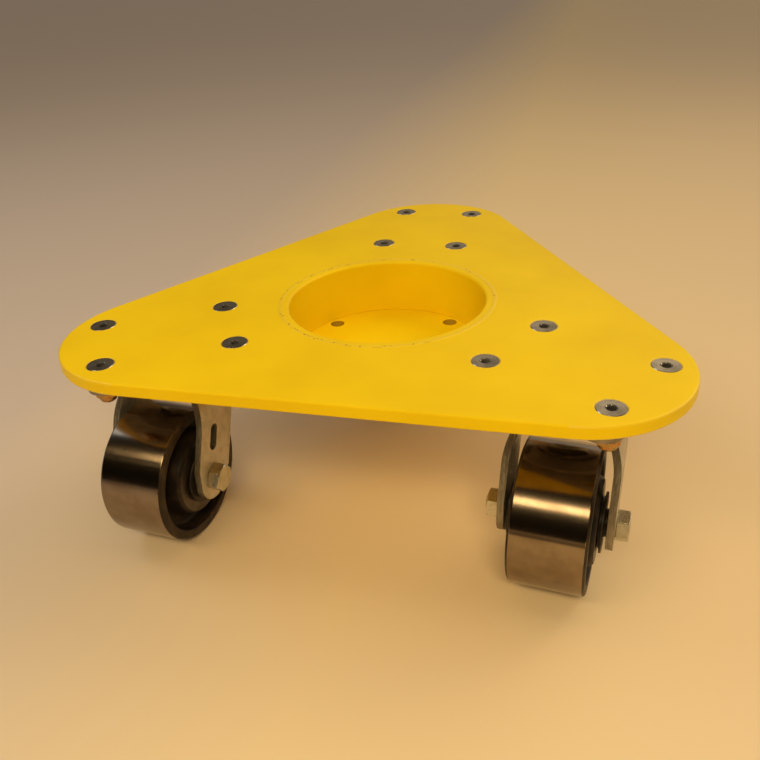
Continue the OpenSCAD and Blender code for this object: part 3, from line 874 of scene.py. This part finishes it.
# %% Fork legs
LEG_T = 5 * MM
LEG_W = 41 * MM
TOE_R = 17.5 * MM
SHOULDER = 6.4 * MM
BOW_R = 55 * MM
BOW_H = 30.5 * MM
BOW_CUTS = 9
SLOT_UP = 31 * MM
SLOT_SIDE = 4.2 * MM
SLOT_L = 20 * MM
SLOT_W = 8.7 * MM
AXLE_HOLE_R = 6.45 * MM
STRIP_L = 130 * MM
leg_top = leg_high.z
slant = math.atan2(lead, leg_top)


def slot_loop(bm, centre, width, length):
    """A circle whose upper and lower halves are moved apart."""
    made = bmesh.ops.create_circle(bm, segments=32, radius=width / 2,
                                   matrix=Matrix.Translation(centre) @ Matrix.Rotation(math.pi / 32, 4, "Z"))
    for v in made["verts"]:
        v.co.y += math.copysign((length - width) / 2, v.co.y - centre[1])


def bend_leg(bm):
    """Outside face at x = leg_outer; the strip above bow_start follows two arcs with one centre."""
    bow_start = leg_top - BOW_H
    for step in range(1, BOW_CUTS + 1):
        z = bow_start + BOW_H * step / BOW_CUTS
        bmesh.ops.bisect_plane(bm, geom=bm.verts[:] + bm.edges[:] + bm.faces[:], plane_co=(0, 0, z),
                               plane_no=(0, 0, 1), dist=0.0001 * MM, clear_outer=step == BOW_CUTS)
    for v in bm.verts:
        rise = v.co.z - bow_start
        if rise > 0:
            r = BOW_R - (leg_outer - v.co.x)
            v.co.x = leg_outer - BOW_R + math.sqrt(r * r - rise * rise)
    close_ends(bm)


def make_leg(name, side, mirrored, node):
    bm = bmesh.new()
    start = Vector((TOE_R * math.cos(math.radians(-150)), TOE_R * math.sin(math.radians(-150)), 0))
    toe = arc(bm, start, (0, 0, 0), math.radians(120), 20)
    half = LEG_W / 2
    corners = [bm.verts.new((x, y, 0)) for x, y in ((half, SHOULDER), (half, STRIP_L), (-half, STRIP_L),
                                                    (-half, SHOULDER))]
    for pair in zip(corners, corners[1:]):
        bm.edges.new(pair)
    join(bm, toe, corners)
    slot_loop(bm, (-SLOT_SIDE, SLOT_UP, 0), SLOT_W, SLOT_L)
    hole(bm, (0, 0, 0), AXLE_HOLE_R, 40)
    fill_and_pull(bm, LEG_T)
    break_edges(bm, sharp_edges(bm, 60), 0.55 * MM, 2)
    for face in bm.faces:
        if abs(face.normal.z) < 0.8:
            face.material_index = 1
    bm.transform(Matrix.Translation((leg_outer, 0, 0)) @ Matrix.Rotation(-slant, 4, "X")
                 @ Matrix(((0, 0, 1), (1, 0, 0), (0, 1, 0))).to_4x4())
    bend_leg(bm)
    if mirrored:
        bmesh.ops.scale(bm, verts=bm.verts, vec=(-1, 1, 1))
    return make_piece(name, bm, axle[side], f"{side}_fork", [zinc_plate, sheared_zinc], [node])


for side in SIDES:
    leg = make_leg(f"{side}_bolt_leg", side, False, f"{side}_head_side_leg")
    make_leg(f"{side}_nut_leg", side, True, f"{side}_nut_side_leg")
print("leg:", len(leg.data.polygons), "faces, slanting", round(math.degrees(slant), 1), "degrees")

# %% [markdown]
# Each leg is welded to the underside of the fork's crown. The bead is a bar whose radius swells once
# for every puddle and shrinks almost to nothing at the ends. Its middle lies in the corner of the two
# plates, so only the quarter that a real fillet has stays outside.

# %% Fork welds
FORK_BEAD_R = 3.4 * MM
FORK_BEAD_RINGS = 96


def make_fork_weld(name, side, direction):
    reach = leg_outer - BOW_R + math.sqrt(BOW_R ** 2 - BOW_H ** 2)
    length = LEG_W - 1 * MM
    shapes = []
    for i in range(FORK_BEAD_RINGS + 1):
        along = 2 * i / FORK_BEAD_RINGS - 1
        puddle = abs(math.sin(along * length / COIN * math.pi / 2))
        taper = math.sqrt(1 - along ** 12 * 0.999)
        shapes.append(circle(FORK_BEAD_R * (0.84 + 0.16 * puddle) * taper, along * length / 2))
    bm = loft(shapes, steps=32)
    close_ends(bm)
    for v in bm.verts:
        v.co += noise.noise_vector(v.co * 260) * 0.35 * MM
    place = axle[side] @ Matrix.Translation((direction * reach, lead, leg_top)) @ ALONG_Y
    return make_piece(name, bm, place, f"{side}_fork", [zinc_plate])


for side in SIDES:
    make_fork_weld(f"{side}_bolt_leg_weld", side, 1)
    make_fork_weld(f"{side}_nut_leg_weld", side, -1)
print("fork welds:", 2 * len(SIDES))

# %% [markdown]
# The axle is a half-inch bolt. Its head has a thin washer face under the hexagon and a turned cone on
# top, which leaves a circle on the end with six curved corners round it. The nut is turned at both
# ends. The bolt's tip shows the first turns of its thread, which is a real helix: a small ridge that
# is spun while it advances.

# %% Axle bolts and nuts
BOLT_R = 6.35 * MM
BOLT_FLATS = 19.05 * MM
THREAD_PITCH = 1.954 * MM
THREAD_DEPTH = 1.1 * MM
HEAD_TURN = math.radians(-18)
NUT_TURN = math.radians(8)


def add_thread(bm, start, turns, steps=36):
    """One ridge that climbs the Z axis from start."""
    inner = BOLT_R - THREAD_DEPTH - 0.2 * MM
    ridge = [(inner, -0.45), (BOLT_R - 0.1 * MM, -0.08), (BOLT_R - 0.1 * MM, 0.08), (inner, 0.45)]
    verts = [bm.verts.new((r, 0, start + p * THREAD_PITCH)) for r, p in ridge]
    edges = [bm.edges.new(pair) for pair in zip(verts, verts[1:] + verts[:1])]
    bm.faces.new(verts)
    made = bmesh.ops.spin(bm, geom=verts + edges, cent=(0, 0, 0), axis=(0, 0, 1),
                          dvec=(0, 0, THREAD_PITCH / steps), angle=turns * 2 * math.pi,
                          steps=round(turns * steps), use_merge=False, use_duplicate=False)
    bmesh.ops.contextual_create(bm, geom=only(made["geom_last"], bmesh.types.BMEdge))


def make_bolt(side):
    head = bolt_high.x - leg_outer
    tip = bolt_low.x
    cone = BOLT_FLATS / 2 * 0.95
    face = BOLT_FLATS / 2 * 0.93
    base = leg_outer + 0.5 * MM
    bm = loft([
        circle(BOLT_R - 1.6 * MM, tip), circle(BOLT_R - THREAD_DEPTH, tip + 0.8 * MM),
        circle(BOLT_R - THREAD_DEPTH, tip + 11 * MM), circle(BOLT_R, tip + 13 * MM),
        circle(BOLT_R, leg_outer), circle(face, leg_outer), circle(face, base), hexagon(BOLT_FLATS, base),
        hexagon(BOLT_FLATS, leg_outer + head, cone, -1), circle(cone, leg_outer + head),
        circle(cone * 0.86, leg_outer + head - 0.05 * MM), circle(cone * 0.80, leg_outer + head - 0.25 * MM),
        circle(0, leg_outer + head - 0.30 * MM)])
    close_ends(bm)
    edges = sharp_edges(bm, 50, lambda e: e.verts[0].co.z > base - 1e-5 and e.verts[0].co.xy.length > face)
    break_edges(bm, edges, 0.25 * MM)
    add_thread(bm, tip + 1.1 * MM, 5)
    place = axle[side] @ ALONG_X @ Matrix.Rotation(HEAD_TURN, 4, "Z")
    return make_piece(f"{side}_bolt", bm, place, f"{side}_fork", [zinc_bright],
                      [f"{side}_axle_bolt"])


def make_axle_nut(side):
    h = nut_high.x - nut_low.x
    cone = BOLT_FLATS / 2 * 0.95
    bm = loft([
        circle(BOLT_R - 0.6 * MM, h), circle(BOLT_R - 0.6 * MM, 0), circle(BOLT_R + 0.8 * MM, 0),
        circle(cone, 0), hexagon(BOLT_FLATS, 0, cone, 1), hexagon(BOLT_FLATS, h, cone, -1), circle(cone, h),
        circle(BOLT_R + 0.9 * MM, h), circle(BOLT_R - 0.6 * MM, h - 1.2 * MM)])
    break_edges(bm, sharp_edges(bm, 50, lambda e: e.verts[0].co.xy.length > cone), 0.25 * MM)
    inwards = Matrix.Rotation(-math.pi / 2, 4, "Y") @ Matrix.Rotation(NUT_TURN, 4, "Z")
    place = axle[side] @ Matrix.Translation((nut_high.x, 0, 0)) @ inwards
    return make_piece(f"{side}_nut", bm, place, f"{side}_fork", [zinc_bright],
                      [f"{side}_axle_nut"])


for side in SIDES:
    bolt = make_bolt(side)
    make_axle_nut(side)
print("bolt:", round((bolt_high.x - bolt_low.x) / MM, 1), "mm long,", len(bolt.data.polygons), "faces")

# %% [markdown]
# Between the hub and each leg sit a retainer washer, stepped so that it covers the bearing's end, and
# the end of the spanner bushing, the tube that the wheel's rollers run on and that the bolt clamps.
# All of it is black from oil.

# %% Washers and bushing
STEP_R = 17.6 * MM
STEP_T = 1.4 * MM


def make_washer(side, facing, label):
    """facing is the turn from the bolt's side, where the washer is drawn, to its own."""
    r = washer_high.z
    t = washer_high.x - (hub_half + 0.4 * MM)
    bore = bushing_high.z
    bm = lathe([(bore, 0), (STEP_R, 0), (STEP_R, STEP_T), (r, STEP_T), (r, t), (bore, t)],
               {1: 0.3 * MM, 3: 0.4 * MM, 4: 0.5 * MM}, steps=72, closed=True)
    place = (axle[side] @ Matrix.Rotation(facing, 4, "Z") @ Matrix.Translation((washer_high.x - t, 0, 0))
             @ ALONG_X)
    return make_piece(f"{side}_{label}_washer", bm, place, f"{side}_fork", [black_oxide],
                      [f"{side}_retainer_washers"])


def make_bushing(side):
    bore, r = BOLT_R + 0.1 * MM, bushing_high.z
    bm = lathe([(bore, bushing_low.x), (r, bushing_low.x), (r, bushing_high.x), (bore, bushing_high.x)],
               {1: 0.4 * MM, 2: 0.4 * MM}, steps=64, closed=True)
    return make_piece(f"{side}_bushing", bm, axle[side] @ ALONG_X, f"{side}_fork",
                      [black_oxide], [f"{side}_spanner_bushing"])


for side in SIDES:
    make_washer(side, 0, "bolt_side")
    make_washer(side, math.pi, "nut_side")
    make_bushing(side)
print("washers:", 2 * len(SIDES), "of", round(2 * washer_high.z / MM, 1), "mm")

# %% [markdown]
# The wheel is a steel casting, turned on its tread and on its hub's ends and left raw between them.
# Its section runs from the hub's bore over the boss, down into a dished web, up the inside of the rim
# and over the tread. Every inside corner has the large radius that a casting needs. The tread's edges
# are chamfered, and they carry a few nicks.

# %% Wheels
TREAD_HALF = 25.4 * MM
TREAD_CHAMFER = 1.8 * MM
RIM_T = 8 * MM
HUB_R = 30 * MM
WEB_HALF = 13 * MM
HUB_BORE_R = 15.08 * MM
NICKS = 16


def wheel_section():
    rim_in = wheel_r - RIM_T
    side = [(wheel_r, TREAD_HALF - TREAD_CHAMFER), (wheel_r - TREAD_CHAMFER * 0.8, TREAD_HALF),
            (rim_in + 0.6 * MM, TREAD_HALF), (rim_in - 1 * MM, WEB_HALF),
            (HUB_R + 3 * MM, WEB_HALF + 0.6 * MM), (HUB_R, hub_half - 1.8 * MM),
            (HUB_R - 1.8 * MM, hub_half), (HUB_BORE_R, hub_half)]
    points = side + [(r, -x) for r, x in reversed(side)]
    widths = {0: 0.35, 1: 0.5, 2: 1.2, 3: 3.0, 4: 3.0, 5: 0.9, 6: 0.6, 7: 0.5}
    rounds = {index: width * MM for index, width in widths.items()}
    rounds.update({len(points) - 1 - index: width * MM for index, width in widths.items()})
    return points, rounds


def nick_rims(bm, seed):
    """Presses a few small nicks into both edges of the tread."""
    roll = random.Random(seed)
    for _ in range(NICKS):
        angle = roll.uniform(0, 2 * math.pi)
        x = roll.choice((-1, 1)) * (TREAD_HALF - 0.8 * MM)
        spot = Vector((wheel_r * math.cos(angle), wheel_r * math.sin(angle), x))
        size = roll.uniform(1.0, 2.4) * MM
        for v in bm.verts:
            away = (v.co - spot).length / size
            if away < 1:
                v.co.xy *= 1 - 0.012 * (1 - away) ** 2


def make_wheel(side, seed):
    points, rounds = wheel_section()
    bm = lathe(points, rounds, steps=288, closed=True)
    bmesh.ops.remove_doubles(bm, verts=bm.verts, dist=0.001 * MM)
    nick_rims(bm, seed)
    bm.normal_update()
    for face in bm.faces:
        spot = face.calc_center_median()
        r = spot.xy.length
        if r > wheel_r - TREAD_CHAMFER * 1.2:
            face.material_index = 0 if abs(spot.z) < TREAD_HALF - TREAD_CHAMFER * 0.9 else 2
        elif abs(face.normal.z) > 0.9 and r < HUB_R and abs(spot.z) > hub_half - 0.5 * MM:
            face.material_index = 3
        elif r > wheel_r - RIM_T and abs(face.normal.z) > 0.6:
            face.material_index = 2
        else:
            face.material_index = 1
    return make_piece(f"{side}_steel_wheel", bm, axle[side] @ ALONG_X, f"{side}_wheel_set",
                      [tread_steel, cast_black, rim_brown, hub_face_steel], [f"{side}_wheel"])


for number, side in enumerate(SIDES):
    wheel = make_wheel(side, 20 + number)
print("wheel:", len(wheel.data.polygons), "faces,", round(2 * wheel_r / MM, 1), "mm across")

# %% [markdown]
# The remaining caster parts are simple solids whose CAD shape is right but whose edges are knife
# sharp. A sharp edge catches no light, and that alone makes a render look false. So each is copied,
# its triangles are merged back into flat faces, and its sharp edges are broken. The CAD node itself
# stays untouched and hidden.

# %% Copies with broken edges


def soften(node, body, finish, width, over=30):
    bm = bmesh.new()
    bm.from_mesh(frame["nodes"][node].data)
    bmesh.ops.remove_doubles(bm, verts=bm.verts, dist=0.002 * MM)
    bmesh.ops.dissolve_limit(bm, angle_limit=math.radians(0.5), verts=[], edges=bm.edges[:],
                             use_dissolve_boundaries=False, delimit=set())
    for face in bm.faces:
        face.material_index = 0
    break_edges(bm, sharp_edges(bm, over), width)
    return make_piece(f"{node}_body", bm, Matrix(), body, [finish], [node])


for side in SIDES:
    # The top plate and the lower race take the darkened plating, as painted shade under the deck.
    fixed = [("top_plate", "zinc_plate", zinc_painted_shade, 0.7), ("lower_race", "zinc_plate", zinc_painted_shade, 0.3),
             ("kingpin_nut", "zinc_plate", zinc_bright, 0.3), ("kingpin", "pin_steel", pin_steel, 0.3)]
    for part, slot, finish, width in fixed:
        soften(f"{side}_{part}", "deck", finish, width * MM, 35)
    soften(f"{side}_fork_crown", f"{side}_fork", zinc_plate, 1.2 * MM, 60)
    soften(f"{side}_grease_fitting", f"{side}_fork", zinc_bright, 0.12 * MM)
print("softened copies:", 6 * len(SIDES))

# %% [markdown]
# The balls and the roller bearings are already the right shape, and they hardly show. They stay as
# CAD nodes and only get their finish: ground steel with a film of grease.

# %% Finishes for the CAD nodes that stay
for name, node in frame["nodes"].items():
    if not node.hide_render:
        for place in node.material_slots:
            place.material = ball_steel
        print("stays as it is:", name)

# %% [markdown]
# The dolly stands on a matt floor of a pale backdrop cloth without folds. Its colour runs slowly from
# grey on the left to a warm gold on the right, by a ramp over the floor's own X. This ramp is painted
# light: the cool, dimmer light on the left and the warm lamp on the right. It is far larger than the
# dolly, so that its end lies well behind.

# %% Floor
FLOOR_SIZE = 30.0


def make_floor():
    bm = bmesh.new()
    bmesh.ops.create_grid(bm, x_segments=1, y_segments=1, size=FLOOR_SIZE)
    bmesh.ops.translate(bm, verts=bm.verts, vec=(0, 0, axle["left"].translation.z - wheel_r))
    mesh = bpy.data.meshes.new("floor")
    bm.to_mesh(mesh)
    bm.free()
    cloth = Finish("floor", metallic=0.0)
    grain = cloth.noise(2 * MM, detail=2)
    across = cloth.along(cloth.object_place(), "X")
    # Painted light: darker grey on the left for cool, dim light, and warm gold on the right for a lamp.
    colour = cloth.ramp(across + 0.5, (0.1, (0.62, 0.53, 0.48)), (0.5, (0.86, 0.68, 0.42)),
                        (0.9, (0.82, 0.65, 0.44)))
    mesh.materials.append(cloth.finish(Base_Color=colour, Roughness=grain * 0.1 + 0.7,
                                       Normal=cloth.bump(grain, 0.05 * MM)))
    floor = bpy.data.objects.new("floor", mesh)
    bpy.context.scene.collection.objects.link(floor)
    return floor


floor = make_floor()
print("floor at", round(floor.data.vertices[0].co.z / MM, 1), "mm")

# %% [markdown]
# A long warm softbox hangs high in front and is the strongest light. A warm one at the right back and
# a weak, cooler one at the left shape the sides, and a small one overhead lights the deck's top. A last
# one in front fills the shadows. It is hidden from glossy rays, so that it leaves no square in the
# treads. Polished steel shows its surroundings more than its own colour, so the room matters too: it
# is dim in front, and the dark band between the floor and the front softbox is what makes the treads
# look like turned steel. It grows brighter to the back and the right. Rays from the camera meet a more
# even room, and diffuse rays get a little more light, which lifts the shadows without showing in steel.

# %% Lights


def softbox(name, spot, aim, size, power, colour):
    light = bpy.data.lights.new(name, "AREA")
    light.shape = "RECTANGLE"
    light.size, light.size_y = size
    light.energy = power
    light.color = colour
    lamp = bpy.data.objects.new(name, light)
    lamp.location = spot
    lamp.rotation_euler = (Vector(aim) - Vector(spot)).to_track_quat("-Z", "Y").to_euler()
    bpy.context.scene.collection.objects.link(lamp)
    return lamp


WARM = (1.0, 0.76, 0.40)
COOL = (0.80, 0.90, 1.0)
softbox("front_high", (-0.25, -1.28, 1.22), (0.0, -0.1, -0.05), (2.0, 0.30), 12.8, WARM)
softbox("right_back", (0.95, 0.85, 1.25), (0.1, 0, -0.05), (0.8, 0.8), 6, WARM)
softbox("left_side", (-1.3, 0.1, 1.2), (-0.1, 0, -0.05), (0.7, 0.7), 3, COOL)
softbox("overhead", (0.05, -0.15, 1.35), (0.0, -0.12, -0.05), (0.45, 0.45), 1.5, WARM)
front_fill = softbox("front_fill", (0.35, -1.10, 0.80), (0.05, -0.1, -0.05), (0.45, 0.30), 5.6, WARM)
front_fill.visible_glossy = False


ROOM_COLOUR = (1.0, 0.83, 0.62, 1)
ROOM_LEAST = 0.005
ROOM_SEEN = 0.45
ROOM_SHADOW_LIGHT = 0.16


def make_room():
    """Dim in front, where the camera stands, and brighter towards the back right."""
    world = bpy.data.worlds.new("room")
    world.use_nodes = True
    room = Nodes(world.node_tree)
    where = room.add("ShaderNodeTexCoord", output="Generated")
    depth = room.along(where, "Y").above(-0.2, 0.7, slope="LINEAR")
    right = room.along(where, "X").above(-0.35, 0.5, least=0.10, slope="LINEAR")
    light = depth * right + ROOM_LEAST
    eye, soft = (room.add("ShaderNodeLightPath", output=i) for i in ("Is Camera Ray", "Is Diffuse Ray"))
    background = room.tree.nodes["Background"]
    room.feed(background.inputs["Color"], ROOM_COLOUR)
    room.feed(background.inputs["Strength"], light + (ROOM_SEEN - light) * eye + soft * ROOM_SHADOW_LIGHT)
    return world


world = make_room()
bpy.context.scene.world = world
bpy.context.scene.view_settings.view_transform = "Standard"
print("lights:", len(bpy.data.lights))

# %% Sizes and finish
print("pieces:", count["pieces"], "with about", count["triangles"], "triangles")
